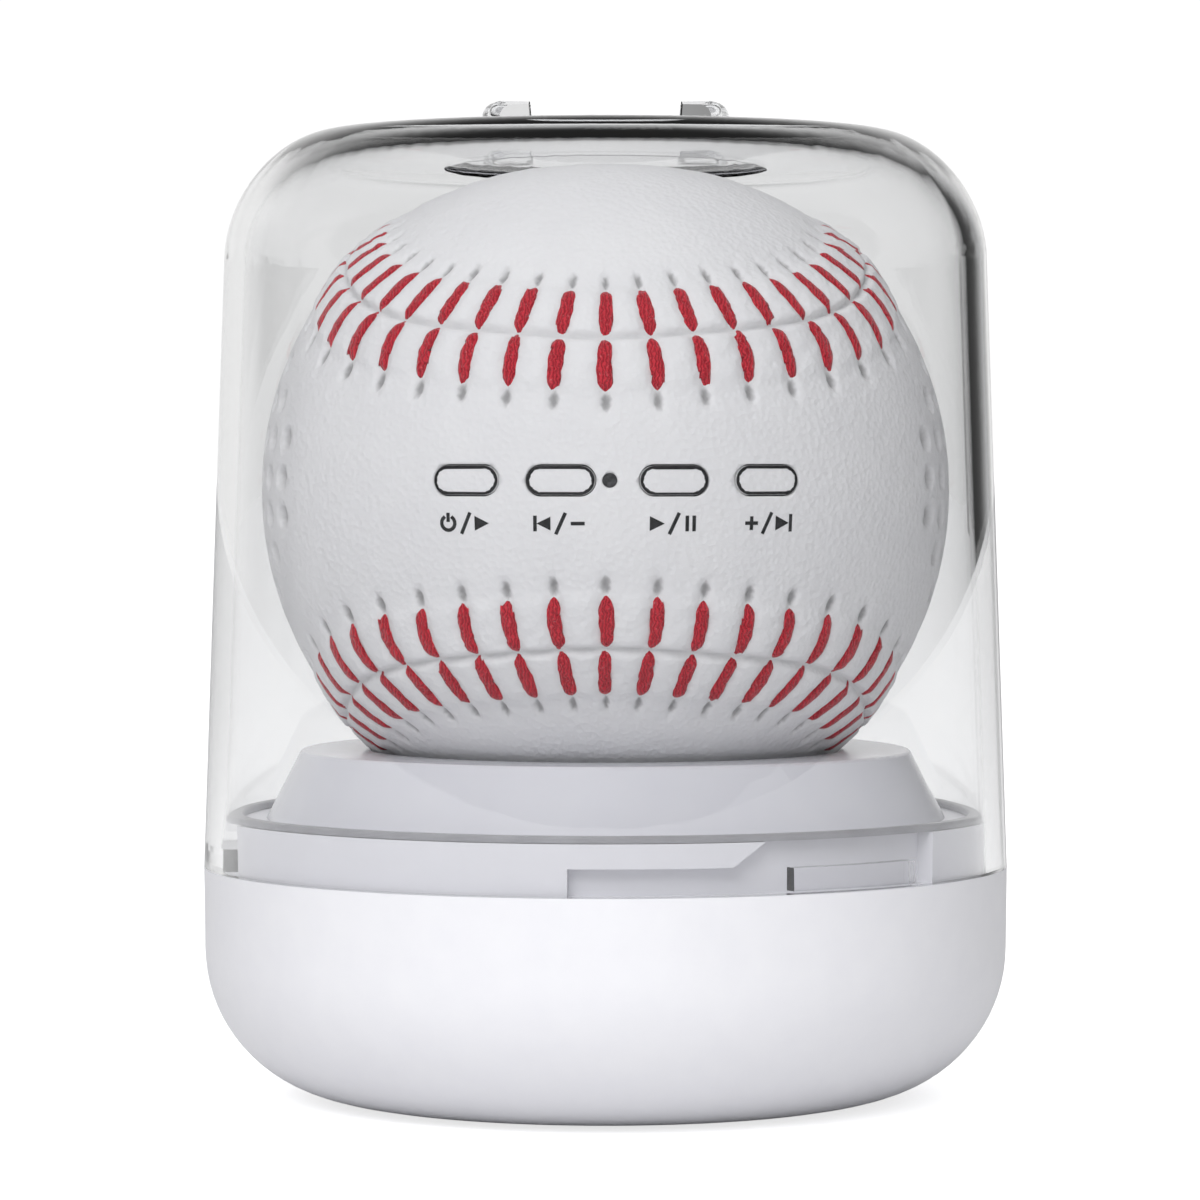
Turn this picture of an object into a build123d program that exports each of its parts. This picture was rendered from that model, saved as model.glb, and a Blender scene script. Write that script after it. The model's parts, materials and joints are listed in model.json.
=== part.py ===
from build123d import *
import os
from math import atan2, cos, degrees, hypot, pi, sin, sqrt

# A clear domed display case on a white bowl base, with a baseball-shaped wireless speaker in a cup.
# Millimetres, +Z up, origin on the case's axis at the surface that it stands on. The front is -Y.
# Bearings in this file are degrees round the axis from the front, positive towards +X.

# ---- driving dimensions: ball ----
ball_radius = 36.75
leather = 1.35
shell_wall = 1.9
seam_waist = 0.437          # radians from the front to the seam at the waist
seam_points = 48
stitch_pairs = 92
stitch_length = 5.0
stitch_width = 1.3
stitch_thick = 0.35
stitch_lean = 52.0          # degrees between a stitch and the seam
stitch_start = 0.6          # distance from the seam to a stitch's near end
stitch_lift = 0.02          # between the leather and a stitch
perforation_pitch = 4.0
perforation_radius = 1.1
perforation_field = 16.5
perforation_rise = 1.5
driver_opening = 15.5

# ---- driving dimensions: base ----
ball_air = 6.25             # from the ball out to the outside of the bowl's rim
base_draft = 0.1            # radius gained over the height of the straight wall
rim_height = 24.75          # top edge of the bowl, where the cover's skirt lands
base_curve = 15.9           # radius of the rounded underside
base_wall = 2.2
neck_rise = 5.25            # top face of the deck above the rim
neck_depth = 4.75           # how far the neck plugs into the bowl
neck_wall = 3.5
deck_plate = 2.0
foot_thickness = 0.8
foot_proud = 0.2
foot_half = 4.0             # half the width of the foot ring's groove
foot_gap = 0.1
foot_round = 0.15

# ---- driving dimensions: cup ----
cup_height = 7.2
cup_rim_width = 7.14        # flat face round the seat's opening
cup_lean = 3.7              # how much wider the cup is at its foot
cup_edge = 0.5
cup_wall = 2.0
cup_collar_depth = 2.0
cup_collar_wall = 1.8
cup_collar_root = 1.2
cup_gap = 0.8               # between the ball's leather and the seat
ball_sink = 1.95            # how far the ball's lowest point hangs below the deck's top face

# ---- driving dimensions: cover ----
cover_wall = 2.2
headroom = 0.4              # between the ball and the ceiling's recess
roof_wall = 2.4
wall_draft = 0.035          # radius lost per unit of height
shoulder_height = 13.85
shoulder_in = 11.95         # how far the shoulder reaches in
shoulder_handle = 0.496     # share of each leg that the shoulder curve's handles take
recess_radius = 17.4
recess_depth = 1.2
lug_inner = 8.3
lug_outer = 13.2
lug_height = 3.05
lug_spread = 40.0           # degrees of arc of each roof lug
lug_corner = 1.5
lug_draft = 0.25

# ---- driving dimensions: bayonet ----
track_count = 3
track_stop = -5.4           # bearing of a track's closed end
track_ramp = 18.0           # bearing where the overhang starts to ramp up
track_mouth = 22.8          # bearing where the overhang ends
track_entry_end = 53.6      # bearing of the far side of the entry gap
track_height = 2.75         # under the overhang
track_depth = 1.5
bayonet_lug_start = 27.0
bayonet_lug_end = 49.0
bayonet_lug_height = 2.35
fit_gap = 0.3               # between the skirt and the neck
seat_gap = 0.05             # between flat faces of pieces that move apart
seal_width = 1.5
seal_height = 0.7
seal_inset = 0.2
seal_round = 0.3

# ---- driving dimensions: buttons ----
key_names = ["power", "volume_down", "play", "volume_up"]
key_middle = 1.8            # bearing halfway between the two inner keys
key_half_gap = 3.5          # degrees from there to an inner key's end
key_spacing = 4.6           # degrees between neighbouring keys' ends
key_rise = 2.1              # degrees above the ball's waist
key_length = 6.8
key_height = 2.95
key_gap = 0.15
key_proud = 0.1
key_edge = 0.12
key_back = 0.5              # from the shell's inside to a key's flange
key_flange = 0.6            # how far a key's flange reaches past its hole
key_flange_thick = 0.8
switch_gap = 0.5            # a key's travel, and a tenth more
switch_height = 1.4
switch_size = 3.6
plunger_radius = 0.9
plunger_height = 0.4
strip_length = 36.0
strip_height = 8.0
strip_thick = 1.0
strip_gap = 0.12
light_radius = 0.7
light_bearing = 0.6
light_gap = 0.05

# ---- driving dimensions: charging socket ----
socket_width = 8.4
socket_height = 3.0
socket_depth = 8.0
socket_gap = 0.3
socket_shell = 0.35
socket_corner = 1.0
socket_inset = 0.4          # from the shell's inside out to the socket's mouth
tongue_inset = 1.5
tongue_thick = 0.6

# ---- driving dimensions: fasteners ----
screw_shank = 1.1
screw_head = 2.2
screw_head_thick = 1.4
screw_boss = 3.2
slot_length = 2.4
slot_width = 0.5
slot_depth = 0.5
hole_clearance = 0.1
thread_gap = 0.02           # between a screw and the hole that it bites in
base_screw_count = 3
base_screw_turn = 15.0      # degrees past the end of an entry gap
base_screw_inset = 4.415    # from the cup's collar out to the screws
base_screw_length = 11.0
boss_rise = 1.5             # how far the bowl's screw bosses stand above its floor
boss_inset = 4.15           # from the shell's inside to the joining bosses
boss_radius = 2.6
boss_web = 2.0
boss_half = 7.0
boss_count = 4

# ---- driving dimensions: speaker drivers ----
driver_flange = 17.0
driver_flange_thick = 1.6
driver_flange_gap = 0.3
driver_basket = 13.5
driver_length = 9.0         # from the flange back to the magnet's seat
driver_seat = 1.2
driver_vent = 4.0
driver_window = 7.0
magnet_radius = 9.0
magnet_length = 6.0
magnet_plate = 1.2
magnet_edge = 0.5
cone_wall = 0.5
cone_roll = 1.2             # half the width of the cone's rolled edge
cone_neck = 4.2
cone_dome = 2.6

# ---- driving dimensions: electronics ----
battery_size = (18.0, 30.0, 8.0)
battery_place = (0, -2, -7)
battery_edge = 1.2
board_size = (20.0, 44.0, 1.2)
board_place = (0, 2, 3)
board_hole = 1.1
board_hole_inset = 2.0
chips = [(-4, -6, 6, 6, 1.0), (4, 4, 5, 7, 1.2), (-4, 12, 4, 4, 1.6), (4, -13, 3, 5, 1.0)]

# ---- clearances used while cutting and joining ----
body_gap = 0.05             # between pieces that are fixed together
overlap = 0.5               # how far joined solids reach into each other
cut_over = 1.0              # how far a cut reaches past what it removes

# ---- sizes that follow ----
base_radius = ball_radius + ball_air
base_waist_radius = base_radius - base_draft
base_floor = foot_proud
neck_top = rim_height + neck_rise
neck_radius = base_radius - cover_wall - fit_gap
ball_height = neck_top + ball_radius - ball_sink
seat_radius = ball_radius + cup_gap
cup_rim_height = neck_top + cup_height
cup_rim_radius = sqrt(seat_radius ** 2 - (ball_height - cup_rim_height) ** 2) + cup_rim_width
cup_foot_radius = cup_rim_radius + cup_lean
collar_outer = sqrt((seat_radius + cup_wall / 2) ** 2 - (ball_height - neck_top) ** 2)
collar_inner = collar_outer - cup_collar_wall
base_screw_circle = collar_outer + base_screw_inset
foot_inner = base_screw_circle - foot_half
foot_outer = base_screw_circle + foot_half
roof_top = ball_height + ball_radius + headroom + roof_wall - recess_depth
shoulder_start = roof_top - shoulder_height
shell_outer = ball_radius - leather - body_gap
shell_inner = shell_outer - shell_wall
boss_circle = shell_inner - boss_inset
key_angle = degrees(key_length / ball_radius)
key_inner = key_angle / 2 + key_half_gap
key_outer = key_inner + key_angle + key_spacing
key_offsets = (-key_outer, -key_inner, key_inner, key_outer)
key_bearings = [round(key_middle + offset, 1) for offset in key_offsets]


# ---- helpers ----
def ring(*points):
    """Body of revolution about Z from a closed outline of (radius, height) points."""
    return revolve(Plane.XZ * make_face(Polyline(*points, close=True)), Axis.Z)


def disc(radius, low, high):
    """Upright cylinder between two heights."""
    return Pos(0, 0, low) * Cylinder(radius, high - low, align=(Align.CENTER, Align.CENTER, Align.MIN))


def sector(inner, outer, low, high, start, end):
    """Part of a flat ring between two bearings."""
    outline = Polyline((inner, low), (outer, low), (outer, high), (inner, high), close=True)
    turned = revolve(Plane.XZ * make_face(outline), Axis.Z, end - start)
    return Rot(0, 0, start - 90) * turned


def along(direction, distance):
    """Plane facing outwards along a direction from the ball's centre, its x axis level."""
    outward = Vector(*direction).normalized()
    level = Vector(0, 0, 1).cross(outward).normalized()
    return Plane(origin=outward * distance, x_dir=level, z_dir=outward)


def facing(bearing, rise):
    """Direction from the ball's centre at a bearing and a rise, in degrees."""
    across = sin(bearing * pi / 180) * cos(rise * pi / 180)
    ahead = cos(bearing * pi / 180) * cos(rise * pi / 180)
    return (across, -ahead, sin(rise * pi / 180))


def save(node, solids):
    """Write one node; a group of separate solids is one compound."""
    shape = Compound(children=list(solids)) if isinstance(solids, list) else solids
    export_step(shape, f"parts/{node}.step")


# ---- base ----
def screw_places():
    """Bearings of the base screws, between the bayonet tracks."""
    step = 360 / base_screw_count
    return [track_entry_end + base_screw_turn + step * index for index in range(base_screw_count)]


def around(radius, bearing):
    """Point at a radius and bearing on the floor plane."""
    angle = (bearing - 90) * pi / 180
    return (radius * cos(angle), radius * sin(angle), 0)


def bowl_face(inset, floor, top):
    """Half section of the bowl's outer surface, drawn in by an inset."""
    centre_height = base_floor + base_curve
    flat = base_waist_radius - base_curve
    turn = base_curve - inset
    low = (flat, centre_height - turn)
    middle = (flat + turn * sin(pi / 4), centre_height - turn * cos(pi / 4))
    high = (base_waist_radius - inset, centre_height)
    outline = [
        Line((0, floor), low),
        ThreePointArc(low, middle, high),
        Line(high, (base_radius - inset, top)),
        Line((base_radius - inset, top), (0, top)),
        Line((0, top), (0, floor)),
    ]
    return revolve(Plane.XZ * make_face(Wire(outline)), Axis.Z)


def base_bowl():
    bowl = bowl_face(0, base_floor, rim_height)
    hollow = bowl_face(base_wall, base_floor + base_wall, rim_height)
    groove_top = foot_thickness
    floor_top = base_floor + base_wall
    boss = disc(screw_boss, base_floor, floor_top + boss_rise)
    bosses = [Pos(*around(base_screw_circle, bearing)) * boss for bearing in screw_places()]
    body = bowl - hollow + bosses
    body -= ring((foot_inner, 0), (foot_outer, 0), (foot_outer, groove_top), (foot_inner, groove_top))
    for bearing in screw_places():
        place = Pos(*around(base_screw_circle, bearing))
        body -= place * disc(screw_head + hole_clearance, 0, groove_top + screw_head_thick)
        body -= place * disc(screw_shank + hole_clearance, 0, neck_top)
    return body


def foot_ring():
    inner = foot_inner + foot_gap
    outer = foot_outer - foot_gap
    body = ring((inner, 0), (outer, 0), (outer, foot_thickness), (inner, foot_thickness))
    return fillet(body.edges().group_by(Axis.Z)[0], foot_round)


def base_screws():
    """Three identical screws, driven up through the bowl into the deck's posts."""
    screws = []
    for bearing in screw_places():
        place = Pos(*around(base_screw_circle, bearing))
        head = disc(screw_head, foot_thickness + foot_gap, foot_thickness + screw_head_thick)
        head -= Pos(0, 0, foot_thickness) * Box(slot_length, slot_width, 2 * slot_depth)
        head -= Pos(0, 0, foot_thickness) * Box(slot_width, slot_length, 2 * slot_depth)
        shank = disc(screw_shank, foot_thickness + screw_head_thick, base_screw_length + foot_thickness)
        screws.append(place * (head + shank))
    return screws


def base_deck():
    wall_inner = neck_radius - neck_wall
    low = rim_height - neck_depth
    plate_low = neck_top - deck_plate
    hole = collar_outer + hole_clearance
    body = ring((wall_inner, low), (neck_radius, low), (neck_radius, neck_top), (hole, neck_top),
                (hole, plate_low), (wall_inner, plate_low))
    post_low = base_floor + base_wall + boss_rise + body_gap
    bore_end = base_screw_length + foot_thickness + 2 * cut_over
    for bearing in screw_places():
        place = Pos(*around(base_screw_circle, bearing))
        body += place * disc(screw_boss, post_low, plate_low + overlap)
        body -= place * disc(screw_shank + thread_gap, post_low - cut_over, bore_end)
    groove = neck_radius - track_depth
    outside = base_radius + cut_over
    over = neck_top + cut_over
    ceiling = rim_height + track_height
    for index in range(track_count):
        turned = Rot(0, 0, index * 360 / track_count)
        body -= turned * sector(groove, outside, rim_height, ceiling, track_stop, track_mouth)
        body -= turned * sector(groove, outside, rim_height, over, track_mouth, track_entry_end)
        body -= turned * track_lead_in(groove, ceiling)
    return body


def track_lead_in(groove, ceiling):
    """Wedge that ramps the overhang's underside up to its top at the mouth of a track."""
    half = (track_mouth - track_ramp) / 2
    reach = neck_radius * 2 * half * pi / 180
    rise = neck_top - ceiling
    end = reach / 2 + overlap
    outline = make_face(Polyline((-reach / 2, -overlap), (end, -overlap), (end, rise + overlap),
                                 (reach / 2, rise), (-reach / 2, 0), close=True))
    face_on = Plane(origin=(0, -groove, ceiling), x_dir=(1, 0, 0), z_dir=(0, -1, 0))
    return Rot(0, 0, track_ramp + half) * extrude(face_on * outline, 2 * track_depth)


def dust_seal():
    outer = neck_radius - seal_inset
    inner = outer - seal_width
    low = neck_top + seat_gap
    body = ring((inner, low), (outer, low), (outer, low + seal_height), (inner, low + seal_height))
    return fillet(body.edges().group_by(Axis.Z)[-1], seal_round)


# ---- cup ----
def ball_cup():
    seat = Pos(0, 0, ball_height) * Sphere(seat_radius)
    seat_back = Pos(0, 0, ball_height) * Sphere(seat_radius + cup_wall)
    lean = (cup_foot_radius - cup_rim_radius) / (cup_rim_height - neck_top)
    low = neck_top + body_gap
    hollow_top = cup_rim_height - cup_wall
    outer = ring((0, low), (cup_foot_radius, low), (cup_rim_radius, cup_rim_height), (0, cup_rim_height))
    outer = fillet(outer.edges().group_by(Axis.Z)[-1], cup_edge)
    hollow_foot = cup_foot_radius - cup_wall
    hollow_rim = hollow_foot - lean * (hollow_top - low)
    hollow = ring((0, low), (hollow_foot, low), (hollow_rim, hollow_top), (0, hollow_top))
    collar_low = neck_top - cup_collar_depth
    collar_high = low + cup_collar_root
    collar = ring((collar_inner, collar_low), (collar_outer, collar_low),
                  (collar_outer, collar_high), (collar_inner, collar_high))
    return outer - (hollow - seat_back) + collar - seat


# ---- cover ----
def wall_at(height):
    """Outside radius of the cover's wall at a height."""
    return base_radius - wall_draft * (height - rim_height)


def dome_outline(inset, roof, low):
    """Half section under the cover's wall, shoulder and roof, drawn in by an inset."""
    flat = wall_at(shoulder_start) - shoulder_in
    start = (wall_at(shoulder_start) - inset, shoulder_start)
    end = (flat, roof)
    reach = start[0] - flat
    climb = roof - shoulder_start
    handle_low = (start[0], shoulder_start + climb * (1 - shoulder_handle))
    handle_high = (flat + reach * (1 - shoulder_handle), roof)
    outline = [
        Line((0, low), (wall_at(low) - inset, low)),
        Line((wall_at(low) - inset, low), start),
        Bezier(start, handle_low, handle_high, end),
        Line(end, (0, roof)),
        Line((0, roof), (0, low)),
    ]
    return revolve(Plane.XZ * make_face(Wire(outline)), Axis.Z)


def roof_lug():
    """One of the two curved lugs on the roof, rounded over at its outer top edge."""
    top = roof_top + lug_height
    low = roof_top - overlap
    turn = lug_outer - lug_corner
    outline = [
        Line((lug_inner, low), (lug_outer, low)),
        Line((lug_outer, low), (lug_outer, top - lug_corner)),
        RadiusArc((lug_outer, top - lug_corner), (turn, top), -lug_corner),
        Line((turn, top), (lug_inner + lug_draft, top)),
        Line((lug_inner + lug_draft, top), (lug_inner, low)),
    ]
    lug = revolve(Plane.XZ * make_face(Wire(outline)), Axis.Z, lug_spread)
    return Rot(0, 0, -lug_spread / 2) * lug


def dome_cover():
    low = rim_height + seat_gap
    body = dome_outline(0, roof_top, low) - dome_outline(cover_wall, roof_top - roof_wall, low)
    ceiling = roof_top - roof_wall
    body -= disc(recess_radius, ceiling - cut_over, ceiling + recess_depth)
    lug = roof_lug()
    body += [lug, Rot(0, 0, 180) * lug]
    tip = neck_radius - track_depth + fit_gap
    lug_low = rim_height + (track_height - bayonet_lug_height) / 2
    lug_top = lug_low + bayonet_lug_height
    root = wall_at(rim_height) - cover_wall + overlap
    for index in range(track_count):
        turned = Rot(0, 0, index * 360 / track_count)
        body += turned * sector(tip, root, lug_low, lug_top, bayonet_lug_start, bayonet_lug_end)
    return body


# ---- ball: cover panels ----
def seam_point(turn, radius):
    """Point on the figure-8 seam; turn runs from 0 to 4 pi."""
    polar = pi / 2 - (pi / 2 - seam_waist) * cos(turn)
    swing = turn / 2 + seam_waist * sin(2 * turn)
    return Vector(sin(polar) * sin(swing), -cos(polar), sin(polar) * cos(swing)) * radius


def seam_loop(radius):
    points = [seam_point(4 * pi * step / seam_points, radius) for step in range(seam_points)]
    return Spline(*points, periodic=True)


def stadium(length, height, low, high):
    """Upright prism with round ends between two heights."""
    return Pos(0, 0, low) * extrude(SlotOverall(length, height), high - low)


def key_hole(depth):
    """Cut for one key, reaching in to a depth below the ball's surface."""
    length = key_length + 2 * key_gap
    return stadium(length, key_height + 2 * key_gap, -depth - cut_over, cut_over)


def perforation_places():
    """Directions of the speaker holes on the +X side, on a square grid."""
    reach = int(perforation_field // perforation_pitch) + 1
    places = []
    for row in range(-reach, reach + 1):
        for column in range(-reach, reach + 1):
            across = column * perforation_pitch
            up = row * perforation_pitch
            if hypot(across, up) <= perforation_field:
                height = up + perforation_rise
                depth = sqrt(ball_radius ** 2 - across ** 2 - height ** 2)
                places.append((depth, across, height))
    return places


def front_cuts():
    """Everything that is cut out of the ball's cover: keys, light, speaker holes and socket."""
    cuts = []
    for bearing in key_bearings:
        cuts.append(along(facing(bearing, key_rise), ball_radius) * key_hole(leather))
    light_hole = disc(light_radius + light_gap, -leather - cut_over, cut_over)
    cuts.append(along(facing(light_bearing, key_rise), ball_radius) * light_hole)
    hole = disc(perforation_radius, -leather - cut_over, cut_over)
    for place in perforation_places():
        cuts.append(along(place, ball_radius) * hole)
        cuts.append(along((-place[0], place[1], place[2]), ball_radius) * hole)
    return cuts


def socket_cut():
    cut = Box(socket_width + socket_gap, 1.5 * socket_depth, socket_height + socket_gap)
    return Pos(0, ball_radius, 0) * cut


def leather_panels():
    inner = ball_radius - leather
    skin = Sphere(ball_radius) - Sphere(inner)
    knife = Face.make_surface_from_curves(seam_loop(inner - cut_over), seam_loop(ball_radius + cut_over))
    pieces = skin.split(knife, keep=Keep.ALL)
    front = min(pieces, key=lambda piece: piece.center(CenterOf.MASS).Y)
    back = max(pieces, key=lambda piece: piece.center(CenterOf.MASS).Y)
    return front - front_cuts(), back - socket_cut()


def seam_stitches():
    """Pairs of flat stitches that lean away from the seam, one leg on each panel."""
    legs = []
    steps = 15 * seam_points
    path = [seam_point(4 * pi * step / steps, ball_radius) for step in range(steps + 1)]
    lengths = [0]
    for before, after in zip(path, path[1:]):
        lengths.append(lengths[-1] + (after - before).length)
    pitch = lengths[-1] / stitch_pairs
    step = 0
    for pair in range(stitch_pairs):
        while lengths[step + 1] < pair * pitch:
            step += 1
        place = path[step]
        forward = (path[step + 1] - path[step]).normalized()
        for side in (stitch_lean, -stitch_lean):
            legs.append(stitch_leg(place, forward, side))
    return legs


def stitch_leg(place, forward, side):
    """One flat stitch, starting by the seam and leaning back from it."""
    outward = place.normalized()
    run = forward.rotate(Axis((0, 0, 0), outward), 180 - side)
    middle = place + run * (stitch_start + stitch_length / 2)
    outward = middle.normalized()
    level = run - outward * run.dot(outward)
    flat = Plane(origin=outward * (ball_radius + stitch_lift), x_dir=level, z_dir=outward)
    leg = Box(stitch_length, stitch_width, stitch_thick, align=(Align.CENTER, Align.CENTER, Align.MIN))
    return flat * leg


# ---- ball: inner shells ----
def boss_spots():
    """Positions of the four joining bosses, seen along X."""
    spots = []
    for index in range(boss_count):
        angle = (index + 0.5) * 2 * pi / boss_count
        spots.append((boss_circle * cos(angle), boss_circle * sin(angle)))
    return spots


def lying(radius, start, end, spot=(0, 0)):
    """Cylinder along X between two stations."""
    post = Cylinder(radius, end - start, align=(Align.CENTER, Align.CENTER, Align.MIN))
    return Pos(start, spot[0], spot[1]) * (Rot(0, 90, 0) * post)


def shell_skin():
    """Thin half sphere on the +X side, open at the speaker, revolved about X."""
    edge = body_gap / 2
    high = (edge, sqrt(shell_outer ** 2 - edge ** 2))
    low = (edge, sqrt(shell_inner ** 2 - edge ** 2))
    mouth_high = (sqrt(shell_outer ** 2 - driver_opening ** 2), driver_opening)
    mouth_low = (sqrt(shell_inner ** 2 - driver_opening ** 2), driver_opening)
    outline = [
        RadiusArc(high, mouth_high, shell_outer),
        Line(mouth_high, mouth_low),
        RadiusArc(mouth_low, low, -shell_inner),
        Line(low, high),
    ]
    return revolve(make_face(Wire(outline)), Axis.X)


def shell_boss(spot):
    """Screw boss on the +X half, with the web that ties it to the shell."""
    start = body_gap / 2
    angle = degrees(atan2(spot[1], spot[0]))
    web_length = (shell_inner + shell_outer) / 2 - boss_circle
    web = Box(boss_half - start, web_length, boss_web, align=(Align.MIN, Align.MIN, Align.CENTER))
    web = Rot(angle, 0, 0) * (Pos(start, boss_circle, 0) * web)
    return lying(boss_radius, start, boss_half, spot) + (web & Sphere(shell_outer - shell_wall / 2))


def shell_half(side):
    """Half of the hard inner shell; side is +1 for +X and -1 for -X."""
    half = shell_skin()
    for spot in boss_spots():
        half += shell_boss(spot)
    if side < 0:
        half = mirrored(half)
    skin = leather + shell_wall + body_gap
    for bearing in key_bearings:
        half -= along(facing(bearing, key_rise), ball_radius) * key_hole(skin)
    light_hole = disc(light_radius + 2 * light_gap, -skin - cut_over, cut_over)
    half -= along(facing(light_bearing, key_rise), ball_radius) * light_hole
    half -= socket_cut()
    for spot in boss_spots():
        bore = screw_shank + (hole_clearance if side < 0 else thread_gap)
        half -= lying(bore, -boss_half - cut_over, boss_half + cut_over, spot)
    return half


def shell_screws():
    screws = []
    end = -boss_half - screw_head_thick
    for spot in boss_spots():
        head = lying(screw_head, end, -boss_half - body_gap, spot)
        head -= Pos(end, spot[0], spot[1]) * Box(2 * slot_depth, slot_length, slot_width)
        head -= Pos(end, spot[0], spot[1]) * Box(2 * slot_depth, slot_width, slot_length)
        screws.append(head + lying(screw_shank, -boss_half - 2 * body_gap, boss_half - cut_over, spot))
    return screws


# ---- ball: speaker drivers, facing +X until mirrored ----
def flange_back():
    """Station of the driver flange's rear face, where it clears the inside of the shell."""
    front = sqrt(shell_inner ** 2 - driver_flange ** 2) - driver_flange_gap
    return front - driver_flange_thick


def turned_along_x(*points):
    """Body of revolution about X from a closed outline of (station, radius) points."""
    return revolve(make_face(Polyline(*points, close=True)), Axis.X)


def driver_frame():
    back = flange_back()
    front = back + driver_flange_thick
    seat = back - driver_length
    rear = seat - driver_seat
    body = turned_along_x((front, driver_basket), (front, driver_flange), (back, driver_flange),
                          (back, driver_basket + 1), (seat, magnet_radius + 1), (rear, magnet_radius + 1),
                          (rear, driver_vent), (seat, driver_vent), (seat, magnet_radius),
                          (back, driver_basket))
    window = Box(driver_length / 2, driver_window, 4 * driver_flange)
    for angle in (45, 135):
        body -= Pos(back - driver_length / 2, 0, 0) * (Rot(angle, 0, 0) * window)
    return body


def driver_cone():
    """Paper cone with a rolled edge and a domed middle, one even wall."""
    back = flange_back()
    front = back + driver_flange_thick
    edge = driver_basket - driver_flange_gap
    face = [
        (front - 0.9, edge), (front - 0.1, edge - cone_roll), (front - 0.9, edge - 2 * cone_roll),
        (back - 5.0, cone_neck), (back - 3.6, cone_dome), (back - 3.0, 0),
    ]
    rear = [(station - 0.6, radius) for station, radius in face[:-1]]
    rear.append((back - 3.0 - cone_wall, 0))
    return turned_along_x(*(face + rear[::-1]))


def driver_magnet():
    end = flange_back() - driver_length - driver_seat - body_gap
    step = end - magnet_plate
    far = end - magnet_length
    body = turned_along_x((end, 0), (end, magnet_radius - 1), (step, magnet_radius - 1),
                          (step, magnet_radius), (far, magnet_radius), (far, 0))
    return chamfer(body.edges().group_by(Axis.X)[0], magnet_edge)


def mirrored(shape):
    return mirror(shape, Plane.YZ)


# ---- ball: keys and electronics ----
def key(bearing):
    """Leather-faced button: cap through the cover, flange behind the shell, stem on the switch."""
    flange_top = -leather - shell_wall - body_gap - key_back
    flange_low = flange_top - key_flange_thick
    cap = stadium(key_length, key_height, flange_top, key_proud)
    cap = fillet(cap.edges().group_by(Axis.Z)[-1], key_edge)
    flange = stadium(key_length + 2 * key_flange, key_height + 2 * key_flange, flange_low, flange_top)
    return along(facing(bearing, key_rise), ball_radius) * (cap + flange)


def switch_top():
    """Radius at which the switches' plungers end, clear of a key that isn't pressed."""
    return shell_inner - key_back - key_flange_thick - switch_gap


def tact_switches():
    group = []
    low = -switch_height
    case = Box(switch_size, switch_size, switch_height - plunger_height,
               align=(Align.CENTER, Align.CENTER, Align.MIN))
    switch = Pos(0, 0, low) * case + disc(plunger_radius, low, 0)
    for bearing in key_bearings:
        group.append(along(facing(bearing, key_rise), switch_top()) * switch)
    return group


def button_board():
    """Curved flexible board that carries the switches, part of a thin sphere."""
    high = switch_top() - switch_height - strip_gap
    strip = Sphere(high) - Sphere(high - strip_thick)
    middle = high * sin(key_rise * pi / 180)
    return strip & (Pos(0, -high, middle) * Box(strip_length, high, strip_height))


def status_light():
    lens = disc(light_radius, -leather - shell_wall, light_gap / 2)
    return along(facing(light_bearing, key_rise), ball_radius) * lens


def main_board():
    width, length, thick = board_size
    body = Box(width, length, thick)
    for x in (-1, 1):
        for y in (-1, 1):
            spot = Pos(x * (width / 2 - board_hole_inset), y * (length / 2 - board_hole_inset), 0)
            body -= spot * Cylinder(board_hole, 2 * thick)
    for x, y, wide, deep, tall in chips:
        body += Pos(x, y - board_place[1], (thick + tall) / 2) * Box(wide, deep, tall)
    return Pos(*board_place) * body


def battery():
    pack = Pos(*battery_place) * Box(*battery_size)
    return fillet(pack.edges(), battery_edge)


def usb_socket():
    mouth = ball_radius - leather - shell_wall + socket_inset
    shell = fillet(Box(socket_width, socket_depth, socket_height).edges().filter_by(Axis.Y), socket_corner)
    hollow = Box(socket_width - 2 * socket_shell, socket_depth, socket_height - 2 * socket_shell)
    tongue = Box(socket_width - 2 * tongue_inset, socket_depth - tongue_inset, tongue_thick)
    body = shell - Pos(0, cut_over, 0) * hollow + tongue
    return Pos(0, mouth - socket_depth / 2, 0) * body


def main():
    os.makedirs("parts", exist_ok=True)
    save("base_bowl", base_bowl())
    save("foot_ring", foot_ring())
    save("base_screws", base_screws())
    save("base_deck", base_deck())
    save("ball_cup", ball_cup())
    save("dust_seal", dust_seal())
    save("dome_cover", dome_cover())
    lift = Pos(0, 0, ball_height)
    front, back = leather_panels()
    save("leather_panel_front", lift * front)
    save("leather_panel_back", lift * back)
    save("seam_stitches", [lift * leg for leg in seam_stitches()])
    save("inner_shell_right", lift * shell_half(1))
    save("inner_shell_left", lift * shell_half(-1))
    save("shell_screws", [lift * screw for screw in shell_screws()])
    for name, shape in (("frame", driver_frame()), ("cone", driver_cone()), ("magnet", driver_magnet())):
        save(f"driver_{name}_right", lift * shape)
        save(f"driver_{name}_left", lift * mirrored(shape))
    save("battery", lift * battery())
    save("main_board", lift * main_board())
    save("button_board", lift * button_board())
    save("tact_switches", [lift * switch for switch in tact_switches()])
    save("status_light", lift * status_light())
    save("usb_socket", lift * usb_socket())
    for name, bearing in zip(key_names, key_bearings):
        save(f"button_{name}", lift * key(bearing))


main()
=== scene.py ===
import json
from math import cos, pi, radians, sin, sqrt

import bmesh
import bpy
import numpy as np
from mathutils import Matrix, Vector


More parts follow.
